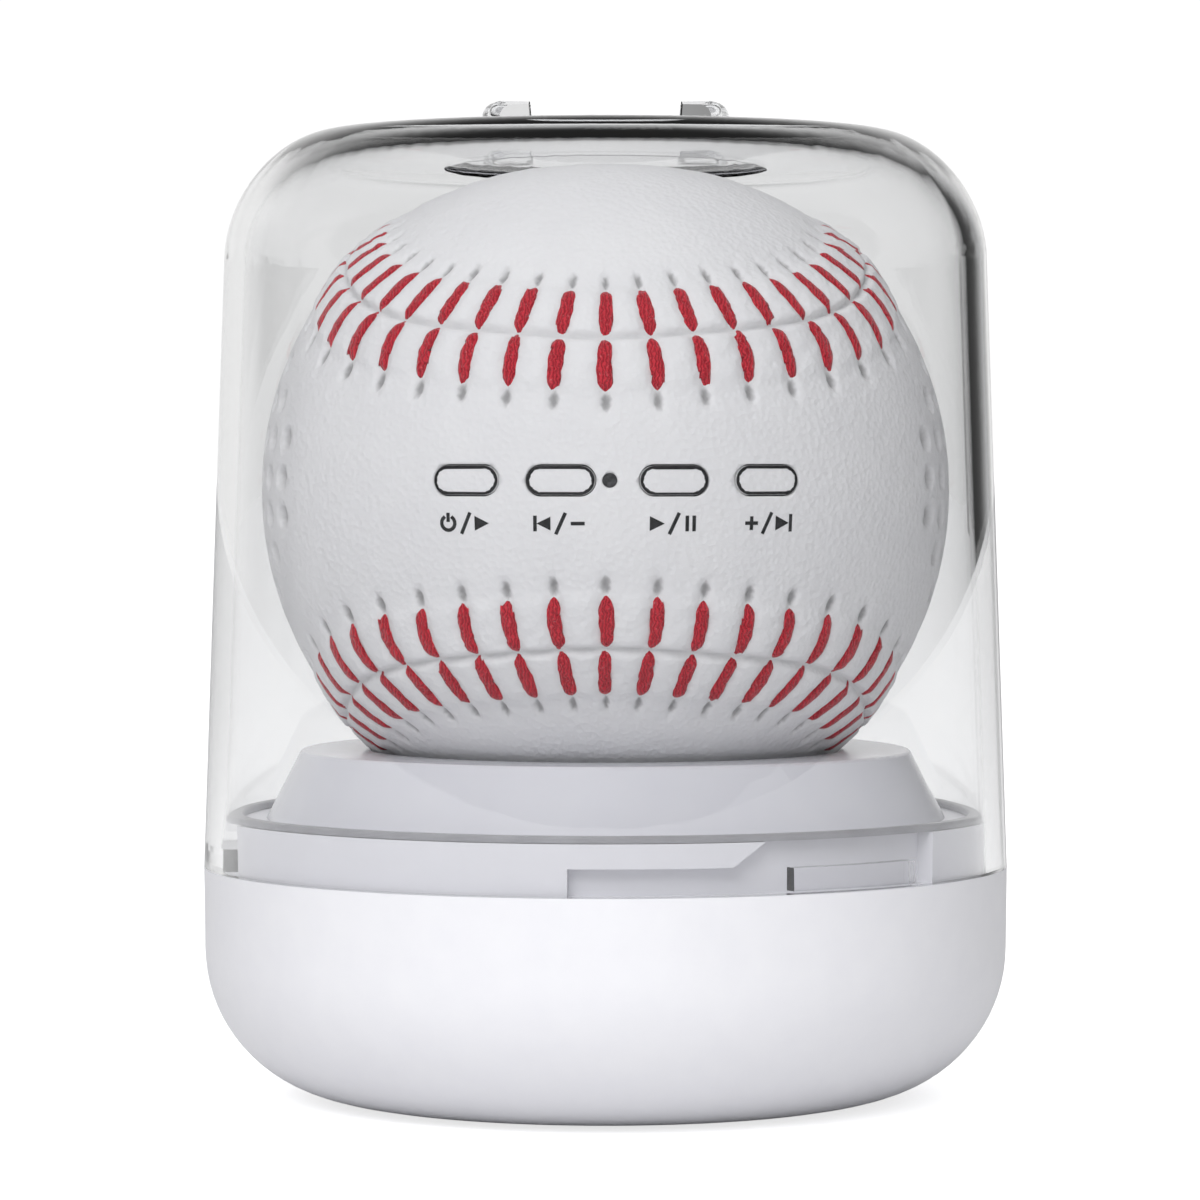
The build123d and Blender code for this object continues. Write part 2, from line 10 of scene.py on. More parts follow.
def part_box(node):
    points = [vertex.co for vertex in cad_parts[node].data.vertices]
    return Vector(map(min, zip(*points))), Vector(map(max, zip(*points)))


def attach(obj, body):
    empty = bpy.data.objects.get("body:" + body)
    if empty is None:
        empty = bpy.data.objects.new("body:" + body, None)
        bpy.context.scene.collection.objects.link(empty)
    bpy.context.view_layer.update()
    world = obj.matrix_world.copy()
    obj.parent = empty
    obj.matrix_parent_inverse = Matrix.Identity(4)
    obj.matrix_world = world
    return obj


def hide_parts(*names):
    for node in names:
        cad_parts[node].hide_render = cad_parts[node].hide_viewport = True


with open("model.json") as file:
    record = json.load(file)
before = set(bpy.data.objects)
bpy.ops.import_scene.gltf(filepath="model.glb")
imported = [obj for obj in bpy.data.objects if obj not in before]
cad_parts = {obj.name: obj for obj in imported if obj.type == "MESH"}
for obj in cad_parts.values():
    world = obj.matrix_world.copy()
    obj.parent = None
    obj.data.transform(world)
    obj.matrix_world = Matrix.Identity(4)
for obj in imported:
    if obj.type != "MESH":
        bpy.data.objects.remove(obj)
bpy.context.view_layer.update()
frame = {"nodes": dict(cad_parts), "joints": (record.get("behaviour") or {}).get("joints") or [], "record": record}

# A clear domed display case on a white bowl base, with a baseball-shaped speaker in a cup.
# Sizes below are in millimetres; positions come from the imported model, in metres.
MM = 0.001

# ---- ball ----
SHELL_LOW, SHELL_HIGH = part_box("inner_shell_right")
PANEL_LOW, PANEL_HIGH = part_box("leather_panel_front")
CENTRE = Vector((0.0, 0.0, (SHELL_LOW[2] + SHELL_HIGH[2]) / 2))
RADIUS = (PANEL_HIGH[0] - PANEL_LOW[0]) / 2 / MM

# ---- seam and its stitches ----
SEAM_WAIST = 0.437           # radians from the middle of the front up to the seam
STITCH_PAIRS = 92
STEPS_PER_PAIR = 60          # points of the seam's curve for each pair
SEAM_SAMPLES = 20001         # points of the uneven curve that those are taken from
LEG_START = 0.12             # a thread leg runs from here to LEG_END, away from the seam
LEG_END = 5.9
LEG_WIDTH = 1.6
LEG_WIDTHS = (0.90, 1.08)    # how much legs differ from that width
LEG_THICK = 0.5
LEG_LEAN = 0.20              # run along the seam for each unit away from it, on the outer side
LEG_BOW = 0.55               # sideways bow of the legs on the inner side
LEAN_RAMP = 22.0             # distance from a front waist at which they lean or bow in full
LEG_SHIFT = 0.12             # a leg's random shift along the seam, either way
LEG_WOBBLE = 0.12            # a leg's random bend, either way
LEG_SUNK = 0.55              # depth of a leg's ends under the leather
LEG_RISE = 0.72              # how far its middle comes up from there
LEG_NARROW = 0.50            # an end's width against the middle's
LEG_RINGS = 18
LEG_SIDES = 12

# ---- leather relief ----
SWELL = 0.38                 # the leather's rise beside the seam
SWELL_REACH = 4.6
PUFF = 0.35                  # its rise between two stitches
VALLEY = 0.18                # its dip under a stitch
VALLEY_REACH = 0.95
STITCHED_FROM = 0.75         # puffs and valleys are full from here
STITCHED_TO = (4.7, 6.5)     # and fade between these distances from the seam
GROOVE = 0.42                # the seam's own depth
GROOVE_REACH = 0.32
SLOT_AT = 6.75               # middle of the puncture at a leg's outer end
SLOT_DEEP = 0.60
SLOT_REACH = (0.46, 1.05)    # a puncture's reach along and across the seam
SLOT_EDGE = (0.30, 0.75)     # share of its depth at which its painted shade starts and is full
RIPPLE = 0.03                # small unevenness beside the seam
BAND = 8.0                   # the ball's mesh is finer this near the seam
BALL_LEVEL = 7

# ---- speaker perforations ----
HOLE_PITCH = 4.0
HOLE_FIELD = 16.5            # radius of the perforated field
HOLE_RISE = 1.5              # its middle above the ball's
HOLE_RADIUS = 1.1
HOLE_DEEP = 0.85
HOLE_SLOPE = (0.35, 0.25)    # how far a perforation's side slopes inside and outside its radius
HOLE_MARGIN = 0.7            # the ball's mesh is finer this far round it

# ---- painted shade on the leather at each feature, 0 to 1 ----
GROOVE_SHADE = 0.16
SLOT_SHADE = 0.62
HOLE_SHADE = 0.42
LEG_SHADE = 0.12

# ---- keys, status light and charging socket ----
KEYS = ("power", "volume_down", "play", "volume_up")
KEY_LENGTH = 6.8
KEY_HEIGHT = 2.95
KEY_GAP = 0.15               # from a key to the leather round it
KEY_DROP = 3.8               # from the ball's surface to the key's flange
KEY_FLANGE = 0.6
KEY_FLANGE_THICK = 0.8
LIGHT_OPENING = 1.5
SOCKET_WIDTH = 8.7
SOCKET_HEIGHT = 3.3
POCKET = 1.4                 # depth of the openings in the leather
OVERSHOOT = 1.0              # how far their cutters stand out of the ball
WALL_SHADE_DEPTHS = (0.15, 0.6)      # depth at which the painted shade on an opening's wall starts and is full

# ---- ink ----
LINE_WIDTH = 0.30            # outline round a key
LINE_INSET = 0.02            # from the key's edge to the outline
LINE_LOW, LINE_HIGH = 0.0, 0.055
LINE_TILT = 0.02             # how much higher its inner edge is
ICON_DROP = 6.75             # degrees from a key down to its mark
ICON_LOW, ICON_HIGH = -0.05, 0.03
STROKE = 0.36                # width of a mark's lines

# ---- studio ----
# The surroundings' brightness along an axis of the view: from, to, and its value at each.
# The last word is the kind of ray that it counts for.
STUDIO = (
    ("X", 0.20, 0.80, 0.95, 0.12, "Is Diffuse Ray"),
    ("X", -0.80, -0.20, 0.20, 1.0, "Is Diffuse Ray"),
    ("Y", -0.30, 0.15, 0.04, 1.0, "Is Glossy Ray"),
    ("X", 0.25, 0.50, 1.0, 0.05, "Is Glossy Ray"),
    ("X", -0.90, -0.60, 0.30, 1.0, "Is Glossy Ray"),
    ("Z", 0.25, 0.70, 0.95, 0.10, "Is Glossy Ray"),
    ("Z", 0.25, 0.70, 0.86, 0.10, "Is Transmission Ray"),
)
# A dark upright strip that only the clear cover refracts: its middle on X, and where its
# edge starts and ends.
DARK_STRIP = (-0.945, 0.008, 0.022)
STRIP_GLOW = 0.02
BACKDROP_GLOW = 1.05         # what the camera sees behind everything
FLOOR_RADIUS = 12.0          # metres
FLOOR_SIDES = 96
FLOOR_GLOW = 0.72            # for the camera
FLOOR_GLOW_REFRACTED = 0.30  # through the clear cover

# Lamps and camera: places in metres, power in watts, the lens in millimetres.
TOP_LAMP = {"place": (-0.22, -0.62, 0.70), "target": (0, 0, 0.05), "size": (0.6, 0.6), "power": 4.4}
FRONT_LAMP = {"place": (0.06, -0.95, 0.22), "target": (0, 0, 0.02), "size": (0.12, 0.35), "power": 1.3}
CAMERA_PLACE = (-0.00059, -0.550, 0.0700)
CAMERA_TIP = 1.764           # degrees below level
LENS = 153.9
SENSOR = 36.0


# ---------------------------------------------------------------- seam geometry
def seam_curve():
    """Unit directions along the seam, evenly spaced, and the seam's length on the ball."""
    turn = np.linspace(0.0, 4.0 * pi, SEAM_SAMPLES)
    polar = pi / 2 - (pi / 2 - SEAM_WAIST) * np.cos(turn)
    swing = turn / 2 + SEAM_WAIST * np.sin(2 * turn)
    flat = np.sin(polar)
    way = np.stack([flat * np.sin(swing), -np.cos(polar), flat * np.cos(swing)], 1)
    run = np.concatenate([[0.0], np.cumsum(np.linalg.norm(np.diff(way, axis=0), axis=1))])
    count = STITCH_PAIRS * STEPS_PER_PAIR
    even = np.linspace(0.0, run[-1], count, endpoint=False)
    way = np.stack([np.interp(even, run, way[:, axis]) for axis in range(3)], 1)
    way /= np.linalg.norm(way, axis=1)[:, None]
    return way, run[-1] * RADIUS


SEAM, SEAM_LENGTH = seam_curve()
PITCH = SEAM_LENGTH / STITCH_PAIRS
AHEAD = np.roll(SEAM, -1, 0) - np.roll(SEAM, 1, 0)
AHEAD /= np.linalg.norm(AHEAD, axis=1)[:, None]
ACROSS = np.cross(SEAM, AHEAD)


def from_waist(run):
    """Signed run from the nearer front waist, as a share of the ramp, kept within -1 to 1."""
    half = SEAM_LENGTH / 2
    near = (run + half / 2) % half - half / 2
    return np.clip(near / LEAN_RAMP, -1.0, 1.0)


def leg_shift(run, off, outer):
    """How far a leg has moved along the seam at a distance off it: a lean outside, a bow inside."""
    lean = -LEG_LEAN * off * from_waist(run)
    bow = LEG_BOW * np.sin(pi * np.clip(off / LEG_END, 0.0, 1.0)) * from_waist(run)
    return np.where(outer, lean, bow)


def on_ball(run, across, height):
    """Point of the ball at a run along the seam and a signed distance across it."""
    index = int(round(run / SEAM_LENGTH * len(SEAM))) % len(SEAM)
    angle = across / RADIUS
    way = SEAM[index] * cos(angle) + ACROSS[index] * sin(angle)
    return way * (RADIUS + height)


def seam_places(ways):
    """Run along the seam and signed distance across it for unit directions, a block at a time."""
    run = np.empty(len(ways))
    across = np.empty(len(ways))
    block = 4000
    for start in range(0, len(ways), block):
        part = ways[start:start + block]
        near = (part @ SEAM.T).argmax(1)
        gap = np.linalg.norm(part - SEAM[near], axis=1)
        side = np.sign(np.einsum("ij,ij->i", part, ACROSS[near]))
        run[start:start + block] = near / len(SEAM) * SEAM_LENGTH
        across[start:start + block] = 2 * np.arcsin(np.clip(gap / 2, 0, 1)) * RADIUS * side
    return run, across


def step_up(value, low, high):
    """Smooth rise from 0 to 1 between two values."""
    share = np.clip((value - low) / (high - low), 0.0, 1.0)
    return share * share * (3 - 2 * share)


def hole_ways():
    """Unit directions of the speaker perforations on both sides."""
    reach = int(HOLE_FIELD // HOLE_PITCH) + 1
    ways = []
    for row in range(-reach, reach + 1):
        for column in range(-reach, reach + 1):
            across, up = column * HOLE_PITCH, row * HOLE_PITCH
            if sqrt(across ** 2 + up ** 2) <= HOLE_FIELD:
                up += HOLE_RISE
                depth = sqrt(RADIUS ** 2 - across ** 2 - up ** 2)
                ways += [(depth, across, up), (-depth, across, up)]
    return np.array(ways) / RADIUS


HOLES = hole_ways()


def hole_gaps(ways):
    """Distance of each direction from the nearest perforation's middle."""
    gap = np.empty(len(ways))
    block = 8000
    for start in range(0, len(ways), block):
        near = (ways[start:start + block] @ HOLES.T).max(1)
        gap[start:start + block] = np.arccos(np.clip(near, -1, 1)) * RADIUS
    return gap


def relief(ways):
    """Height of the leather over the plain ball, and its painted shade, 0 to 1."""
    run, across = seam_places(ways)
    off = np.abs(across)
    shift = leg_shift(run, off, across > 0)
    beside = (run - shift + PITCH / 2) % PITCH - PITCH / 2
    zone = step_up(off, 0.0, STITCHED_FROM) * (1 - step_up(off, *STITCHED_TO))
    leg = np.exp(-(beside / VALLEY_REACH) ** 2)
    swell = SWELL * np.exp(-(off / SWELL_REACH) ** 2)
    groove = np.exp(-(off / GROOVE_REACH) ** 2)
    slot = np.exp(-(beside / SLOT_REACH[0]) ** 2 - ((off - SLOT_AT) / SLOT_REACH[1]) ** 2)
    inside, outside = HOLE_SLOPE
    holes = 1 - step_up(hole_gaps(ways), HOLE_RADIUS - inside, HOLE_RADIUS + outside)
    height = swell + zone * (PUFF * (1 - leg) - VALLEY * leg) - GROOVE * groove
    height += -SLOT_DEEP * slot - HOLE_DEEP * holes
    height += RIPPLE * np.sin(run * 2.1 + 3 * np.sin(across)) * zone
    # Painted shade in the seam's groove, the punctures, the perforations and under the stitch legs.
    shade = GROOVE_SHADE * groove + SLOT_SHADE * step_up(slot, *SLOT_EDGE)
    shade = shade + HOLE_SHADE * holes + LEG_SHADE * leg * zone
    return height, np.clip(shade, 0, 1)


# ---------------------------------------------------------------- mesh helpers
def add_mesh(name, points, faces, smooth=True):
    """New object from points in metres and faces."""
    mesh = bpy.data.meshes.new(name)
    mesh.from_pydata([tuple(point) for point in points], [], faces)
    mesh.validate()
    bm = bmesh.new()
    bm.from_mesh(mesh)
    bmesh.ops.recalc_face_normals(bm, faces=bm.faces)
    bm.to_mesh(mesh)
    bm.free()
    if smooth:
        mesh.shade_smooth()
    else:
        mesh.shade_flat()
    piece = bpy.data.objects.new(name, mesh)
    bpy.context.scene.collection.objects.link(piece)
    return piece


def finish_piece(piece, body, slot, material, *replaced):
    """Gives a piece its body and material, and hides the CAD nodes that it stands for; the slot is not used."""
    piece.data.materials.clear()
    piece.data.materials.append(material)
    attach(piece, body)
    if replaced:
        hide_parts(*replaced)
    return piece


def facing(way):
    """Matrix whose z axis is a direction from the ball's centre and whose x axis is level."""
    outward = Vector(way).normalized()
    level = Vector((0, 0, 1)).cross(outward).normalized()
    up = outward.cross(level)
    matrix = Matrix((level, up, outward)).transposed().to_4x4()
    matrix.translation = CENTRE + outward * (RADIUS * MM)
    return matrix


def key_way(key):
    """Direction that a key faces, from the joint that presses it."""
    for joint in frame["joints"]:
        if joint["name"] == f"{key}_press":
            return -Vector(joint["axis"])
    raise ValueError(key)


def sag(x, y):
    """Height of the ball's surface over its tangent plane, below zero away from the middle."""
    return sqrt(RADIUS ** 2 - x * x - y * y) - RADIUS


def stadium_loop(length, height, sides=56):
    """Points round a stadium outline."""
    straight = (length - height) / 2
    points = []
    for index in range(sides):
        angle = 2 * pi * (index + 0.5) / sides
        end = straight if cos(angle) > 0 else -straight
        points.append((end + height / 2 * cos(angle), height / 2 * sin(angle)))
    return points


def bridge(loops, hoop=False):
    """Points and faces between loops of one length: closed at both ends, or back to the first."""
    size = len(loops[0])
    faces = []
    for ring in range(len(loops) if hoop else len(loops) - 1):
        here, there = ring * size, (ring + 1) % len(loops) * size
        for side in range(size):
            after = (side + 1) % size
            faces.append((here + side, here + after, there + after, there + side))
    if not hoop:
        faces.append(tuple(range(size))[::-1])
        faces.append(tuple(range((len(loops) - 1) * size, len(loops) * size)))
    return [point for loop in loops for point in loop], faces


def gathered(solids):
    """One list of points and one of faces, from the points and faces of several solids."""
    points, faces = [], []
    for solid_points, solid_faces in solids:
        start = len(points)
        points.extend(solid_points)
        faces.extend(tuple(index + start for index in face) for face in solid_faces)
    return points, faces


def placed(points, matrix):
    """Points in metres, from points in millimetres in a matrix's own directions."""
    return [matrix @ (Vector(point) * MM) for point in points]


# ---------------------------------------------------------------- leather ball
def ball_grid():
    """Fine triangle mesh of the unit ball, finer beside the seam and round the perforations."""
    bm = bmesh.new()
    bmesh.ops.create_icosphere(bm, subdivisions=BALL_LEVEL, radius=1.0)
    ways = np.array([v.co for v in bm.verts])
    across = seam_places(ways)[1]
    fine = (np.abs(across) < BAND) | (hole_gaps(ways) < HOLE_RADIUS + HOLE_MARGIN)
    bm.verts.ensure_lookup_table()
    edges = [e for e in bm.edges if fine[e.verts[0].index] and fine[e.verts[1].index]]
    bmesh.ops.subdivide_edges(bm, edges=edges, cuts=1, use_grid_fill=True)
    bmesh.ops.triangulate(bm, faces=bm.faces)
    return bm


def shape_ball(bm):
    """Moves the grid's points out to the leather's surface."""
    ways = np.array([v.co for v in bm.verts])
    ways /= np.linalg.norm(ways, axis=1)[:, None]
    height = relief(ways)[0]
    for vert, way, rise in zip(bm.verts, ways, height):
        vert.co = CENTRE + Vector(way) * ((RADIUS + rise) * MM)


def opening(outline, way):
    """Solid that cuts an outline into the leather, along a direction from the ball's centre."""
    loops = [[(x, y, z) for x, y in outline] for z in (-POCKET, OVERSHOOT)]
    points, faces = bridge(loops)
    return placed(points, facing(way)), faces


def cutters():
    """Solids that open the leather for the keys, the light and the charging socket."""
    hole = stadium_loop(KEY_LENGTH + 2 * KEY_GAP, KEY_HEIGHT + 2 * KEY_GAP)
    solids = [opening(hole, key_way(key)) for key in KEYS]
    light_low, light_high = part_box("status_light")
    light_way = (Vector(light_low) + Vector(light_high)) / 2 - CENTRE
    solids.append(opening(stadium_loop(LIGHT_OPENING, LIGHT_OPENING, 32), light_way))
    solids.append(opening(stadium_loop(SOCKET_WIDTH, SOCKET_HEIGHT), (0, 1, 0)))
    return add_mesh("cutters", *gathered(solids), smooth=False)


def leather_ball(material):
    """The leather of both panels as one piece, with its openings cut."""
    bm = ball_grid()
    shape_ball(bm)
    mesh = bpy.data.meshes.new("leather_cover")
    bm.to_mesh(mesh)
    bm.free()
    whole = bpy.data.objects.new("leather_whole", mesh)
    bpy.context.scene.collection.objects.link(whole)
    tool = cutters()
    cut = whole.modifiers.new("openings", "BOOLEAN")
    cut.operation = "DIFFERENCE"
    cut.solver = "MANIFOLD"
    cut.object = tool
    graph = bpy.context.evaluated_depsgraph_get()
    done = bpy.data.meshes.new_from_object(whole.evaluated_get(graph))
    done.name = "leather_cover"
    bpy.data.objects.remove(tool)
    bpy.data.objects.remove(whole)
    piece = bpy.data.objects.new("leather_cover", done)
    bpy.context.scene.collection.objects.link(piece)
    shade_leather(done)
    panels = ("leather_panel_front", "leather_panel_back")
    return finish_piece(piece, "ball", "white_leather", material, *panels)


def shade_leather(mesh):
    """Writes each point's painted shade, and paints shade on the openings' walls."""
    points = np.empty(len(mesh.vertices) * 3)
    mesh.vertices.foreach_get("co", points)
    points = points.reshape(-1, 3) - np.array(CENTRE)
    radius = np.linalg.norm(points, axis=1)
    height, shade = relief(points / radius[:, None])
    # Painted shade on the openings' walls, full deep inside them.
    deep = step_up(height - (radius / MM - RADIUS), *WALL_SHADE_DEPTHS)
    shade = np.maximum(shade, deep)
    layer = mesh.attributes.new("shade", "FLOAT", "POINT")
    layer.data.foreach_set("value", shade.astype(np.float32))
    mesh.shade_smooth()


# ---------------------------------------------------------------- stitches
def leg_section(run, off, side):
    """Middle of a leg's section, with its forward, sideways and outward directions."""
    here = on_ball(run + float(leg_shift(run, off, side > 0)), side * off, 0.0)
    there = on_ball(run + float(leg_shift(run, off + 0.1, side > 0)), side * (off + 0.1), 0.0)
    outward = here / np.linalg.norm(here)
    forward = there - here
    forward /= np.linalg.norm(forward)
    return here, forward, np.cross(outward, forward), outward


def leg_points(run, side, rng):
    """Loops of points round one thread leg that comes up out of the seam and dives into its slot."""
    wide = LEG_WIDTH * rng.uniform(*LEG_WIDTHS)
    twist = rng.uniform(0, 2 * pi)
    wobble = rng.uniform(-LEG_WOBBLE, LEG_WOBBLE)
    loops = []
    for ring in range(LEG_RINGS):
        share = ring / (LEG_RINGS - 1)
        off = LEG_START + (LEG_END - LEG_START) * share
        here, forward, sideways, outward = leg_section(run, off, side)
        base = SWELL * np.exp(-(off / SWELL_REACH) ** 2) - VALLEY
        arch = min(1.0, 5.0 * share + 0.1) * min(1.0, 4.5 * (1 - share))
        lift = base - LEG_SUNK + LEG_RISE * sin(pi / 2 * arch)
        full = sin(pi * (share * 0.92 + 0.05)) ** 0.7
        width = wide * (LEG_NARROW + (1 - LEG_NARROW) * full)
        width *= 1 + 0.07 * sin(9 * share + twist) + 0.05 * sin(23 * share + 2 * twist)
        # Three strands wind round the leg.
        loop = []
        for index in range(LEG_SIDES):
            angle = 2 * pi * index / LEG_SIDES
            strand = 1 + 0.10 * cos(3 * angle + twist + 7 * share)
            x = width / 2 * cos(angle) * strand + wobble * sin(pi * share)
            z = LEG_THICK / 2 * sin(angle) * strand + lift
            loop.append(here + sideways * x + outward * z)
        loops.append(loop)
    return loops


def stitches(material):
    """All the thread legs, a pair at each pitch of the seam."""
    rng = np.random.default_rng(11)
    legs = []
    for pair in range(STITCH_PAIRS):
        for side in (1, -1):
            run = pair * PITCH + rng.uniform(-LEG_SHIFT, LEG_SHIFT)
            points, faces = bridge(leg_points(run, side, rng))
            legs.append(([Vector(point) * MM + CENTRE for point in points], faces))
    piece = add_mesh("thread_stitches", *gathered(legs))
    return finish_piece(piece, "ball", "red_thread", material, "seam_stitches")


# ---------------------------------------------------------------- keys and ink
def key_piece(key, material):
    """Leather-faced key with a curved, softly rounded face, and the flange behind the shell."""
    loops = []
    for share in (0.04, 0.3, 0.6, 0.8, 0.92, 0.98):
        outline = stadium_loop(KEY_LENGTH - KEY_HEIGHT * (1 - share), KEY_HEIGHT * share)
        loops.append([(x, y, sag(x, y) + 0.06 - 0.04 * share ** 6) for x, y in outline])
    outline = stadium_loop(KEY_LENGTH, KEY_HEIGHT)
    loops.append([(x, y, sag(x, y) - 0.08) for x, y in outline])
    loops.append([(x, y, -KEY_DROP) for x, y in outline])
    flange = stadium_loop(KEY_LENGTH + 2 * KEY_FLANGE, KEY_HEIGHT + 2 * KEY_FLANGE)
    loops.append([(x, y, -KEY_DROP) for x, y in flange])
    loops.append([(x, y, -KEY_DROP - KEY_FLANGE_THICK) for x, y in flange])
    points, faces = bridge(loops)
    piece = add_mesh(f"key_cap_{key}", placed(points, facing(key_way(key))), faces)
    mark_sharp(piece.data)
    return finish_piece(piece, f"key_{key}", "key_leather", material, f"button_{key}")


def mark_sharp(mesh, limit=40):
    """Keeps creases crisp while the rest is smooth."""
    bm = bmesh.new()
    bm.from_mesh(mesh)
    for edge in bm.edges:
        if len(edge.link_faces) == 2 and edge.calc_face_angle(0.0) > radians(limit):
            edge.smooth = False
    bm.to_mesh(mesh)
    bm.free()


def key_line(key, material, rng):
    """Thin inked outline on a key, a little uneven, like a hand-pulled print."""
    phase = rng.uniform(0, 2 * pi, 4)
    outer = stadium_loop(KEY_LENGTH - 2 * LINE_INSET, KEY_HEIGHT - 2 * LINE_INSET, 160)
    straight = (KEY_LENGTH - KEY_HEIGHT) / 2
    inner = []
    for index, (x, y) in enumerate(outer):
        angle = 2 * pi * index / len(outer)
        uneven = 0.03 * sin(5 * angle + phase[0]) + 0.03 * sin(13 * angle + phase[1])
        uneven += 0.02 * sin(31 * angle + phase[2])
        # The line's width is measured towards the key's middle line.
        spine = max(-straight, min(straight, x))
        away = Vector((x - spine, y))
        shrink = 1 - LINE_WIDTH * (1 + uneven * 3) / away.length
        inner.append((spine + away.x * shrink, away.y * shrink))
    loops = [
        [(x, y, sag(x, y) + LINE_LOW) for x, y in outer],
        [(x, y, sag(x, y) + LINE_HIGH) for x, y in outer],
        [(x, y, sag(x, y) + LINE_HIGH + LINE_TILT) for x, y in inner],
        [(x, y, sag(x, y) + LINE_LOW) for x, y in inner],
    ]
    points, faces = bridge(loops, hoop=True)
    piece = add_mesh(f"outline_{key}", placed(points, facing(key_way(key))), faces)
    mark_sharp(piece.data)
    return finish_piece(piece, f"key_{key}", "switch_black", material)


def stroke(points, width=STROKE):
    """A straight or bent line as quads along it, which lap a little at the bends."""
    quads = []
    for (ax, ay), (bx, by) in zip(points, points[1:]):
        run = Vector((bx - ax, by - ay))
        side = Vector((-run.y, run.x)).normalized() * width / 2
        lap = run.normalized() * width / 4
        a, b = Vector((ax, ay)) - lap, Vector((bx, by)) + lap
        quads.append([a - side, b - side, b + side, a + side])
    return quads


def arc(x, y, radius, start, end, steps=14):
    """Points of an arc, angles in degrees from +x."""
    angles = [radians(start + (end - start) * i / steps) for i in range(steps + 1)]
    return [(x + radius * cos(a), y + radius * sin(a)) for a in angles]


def triangle(x, y, size, way=1):
    """Solid triangle that points to +x, or to -x with a way of -1."""
    back, tip = x - way * size, x + way * size
    return [[Vector((back, y - size)), Vector((tip, y)), Vector((back, y + size))]]


def icon_shapes(key):
    """Flat shapes of the generic control marks printed under a key."""
    slash = stroke([(-0.45, -1.0), (0.45, 1.0)])
    if key == "power":
        ring = stroke(arc(-1.9, 0, 0.72, 125, 415))
        return ring + stroke([(-1.9, 0.2), (-1.9, 0.95)]) + slash + triangle(1.7, 0, 0.75)
    if key == "volume_down":
        skip = triangle(-1.7, 0, 0.7, -1) + stroke([(-2.55, -0.7), (-2.55, 0.7)])
        return skip + slash + stroke([(1.1, 0), (2.3, 0)])
    if key == "play":
        bars = stroke([(1.3, -0.7), (1.3, 0.7)]) + stroke([(2.0, -0.7), (2.0, 0.7)])
        return triangle(-1.7, 0, 0.75) + slash + bars
    plus = stroke([(-2.3, 0), (-1.1, 0)]) + stroke([(-1.7, -0.6), (-1.7, 0.6)])
    return plus + slash + triangle(1.7, 0, 0.75) + stroke([(2.65, -0.8), (2.65, 0.8)])


def icons(material):
    """Printed marks under the keys, lying on the leather."""
    marks = []
    for key in KEYS:
        way = key_way(key)
        turn = way.cross(Vector((0, 0, 1))).normalized()
        matrix = facing(Matrix.Rotation(radians(-ICON_DROP), 3, turn) @ way)
        for shape in icon_shapes(key):
            heights = (ICON_LOW, ICON_HIGH)
            loops = [[(p.x, p.y, sag(p.x, p.y) + z) for p in shape] for z in heights]
            points, faces = bridge(loops)
            marks.append((placed(points, matrix), faces))
    piece = add_mesh("control_marks", *gathered(marks), smooth=False)
    return finish_piece(piece, "ball", "switch_black", material)


# ---------------------------------------------------------------- materials
class Nodes:
    """Small helper round one material's node tree."""

    def __init__(self, name):
        self.material = bpy.data.materials.new(name)
        self.material.use_nodes = True
        self.tree = self.material.node_tree
        self.shader = self.tree.nodes["Principled BSDF"]
        self.place = self.tree.nodes.new("ShaderNodeTexCoord").outputs["Object"]

    def link(self, source, target):
        """Joins an output to an input."""
        self.tree.links.new(source, target)

    def noise(self, scale, detail=4.0, rough=0.55):
        """Fractal noise over the piece, 0 to 1."""
        node = self.tree.nodes.new("ShaderNodeTexNoise")
        node.inputs["Scale"].default_value = scale
        node.inputs["Detail"].default_value = detail
        node.inputs["Roughness"].default_value = rough
        self.link(self.place, node.inputs["Vector"])
        return node.outputs["Fac"]

    def cells(self, scale):
        """Distance from the nearest of many scattered points."""
        node = self.tree.nodes.new("ShaderNodeTexVoronoi")
        node.inputs["Scale"].default_value = scale
        self.link(self.place, node.inputs["Vector"])
        return node.outputs["Distance"]

    def span(self, source, low, high, start=0.3, end=0.7):
        """A value between start and end, stretched to low and high."""
        node = self.tree.nodes.new("ShaderNodeMapRange")
        node.inputs["From Min"].default_value = start
        node.inputs["From Max"].default_value = end
        node.inputs["To Min"].default_value = low
        node.inputs["To Max"].default_value = high
        self.link(source, node.inputs["Value"])
        return node.outputs["Result"]

    def mix(self, factor, a, b):
        """Colour between two, each a colour or an output."""
        node = self.tree.nodes.new("ShaderNodeMix")
        node.data_type = "RGBA"
        self.link(factor, node.inputs[0])
        for value, socket in ((a, node.inputs[6]), (b, node.inputs[7])):
            if isinstance(value, tuple):
                socket.default_value = (*value, 1.0)
            else:
                self.link(value, socket)
        return node.outputs[2]

    def sum(self, a, b, share=0.5):
        """The first value, and a share of the second."""
        node = self.tree.nodes.new("ShaderNodeMath")
        node.operation = "MULTIPLY_ADD"
        node.inputs[1].default_value = share
        self.link(b, node.inputs[0])
        self.link(a, node.inputs[2])
        return node.outputs[0]

    def bump(self, height, strength, distance):
        """Fine relief in the shading, with its depth in millimetres."""
        node = self.tree.nodes.new("ShaderNodeBump")
        node.inputs["Strength"].default_value = strength
        node.inputs["Distance"].default_value = distance * MM
        self.link(height, node.inputs["Height"])
        self.link(node.outputs["Normal"], self.shader.inputs["Normal"])

    def set(self, **values):
        """Constants on the shader's own inputs."""
        for name, value in values.items():
            self.shader.inputs[name.replace("_", " ")].default_value = value


